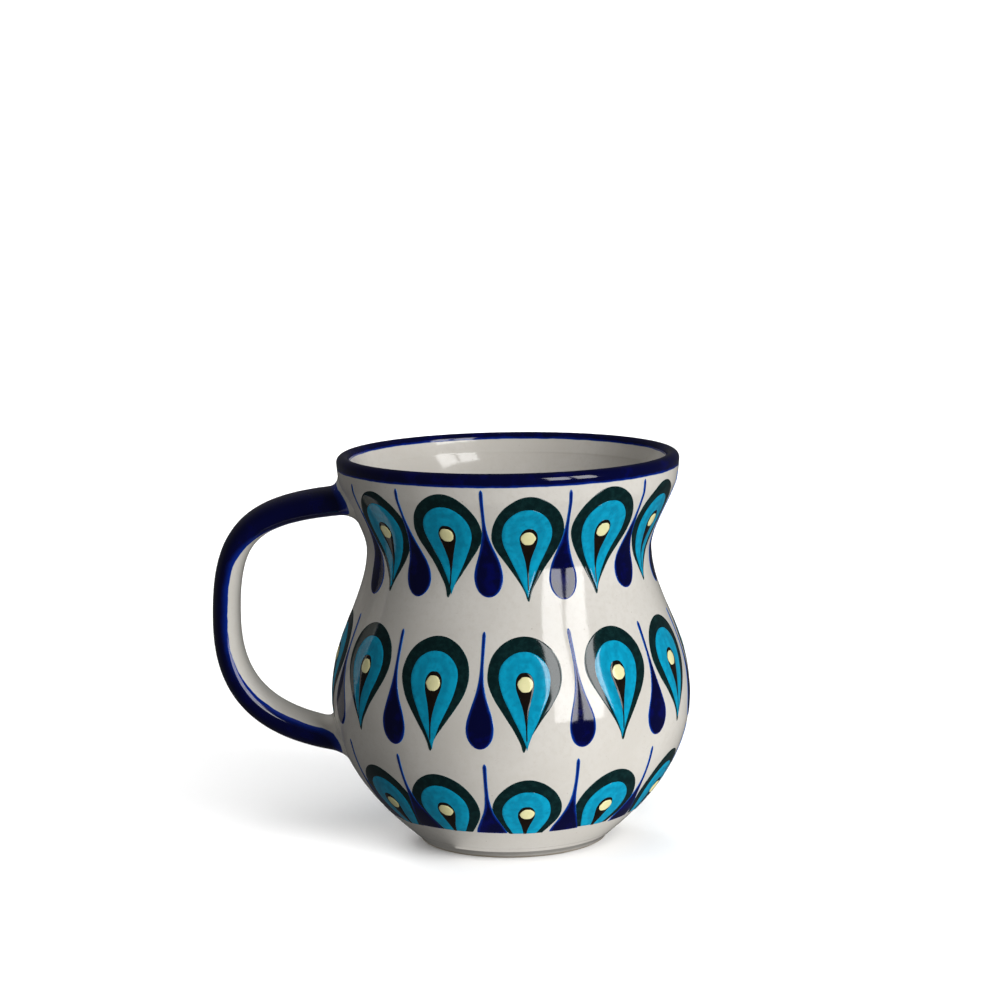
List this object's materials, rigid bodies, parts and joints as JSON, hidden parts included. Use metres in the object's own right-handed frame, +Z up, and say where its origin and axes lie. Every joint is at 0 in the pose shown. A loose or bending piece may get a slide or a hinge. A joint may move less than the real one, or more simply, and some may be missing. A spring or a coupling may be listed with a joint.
{
  "type": "stoneware mug",
  "caption": "Pot-bellied stoneware mug with a flared rim, a rolled lip, a turned foot and a strap handle, hand-painted all round.",
  "frame": {"origin": "middle of the mug's footprint, handle included, on the surface that it stands on; the cup's own axis is 15.3 mm towards +X", "axes": "+Z up out of the mouth, -X towards the handle, the handle's strap in the plane y = 0"},
  "size_m": [0.1238, 0.0932, 0.101],
  "materials": {
    "outside_glaze": "gloss",
    "inside_glaze": "gloss",
    "cobalt_glaze": "gloss",
    "bare_clay": "matte"
  },
  "bodies": {
    "root": {"cup_body": "outside_glaze", "liner_glaze": "inside_glaze", "lip_band": "cobalt_glaze", "foot_ring": "bare_clay", "handle": "cobalt_glaze", "handle_upper_joint": "outside_glaze", "handle_lower_joint": "outside_glaze"}
  },
  "joints": []
}
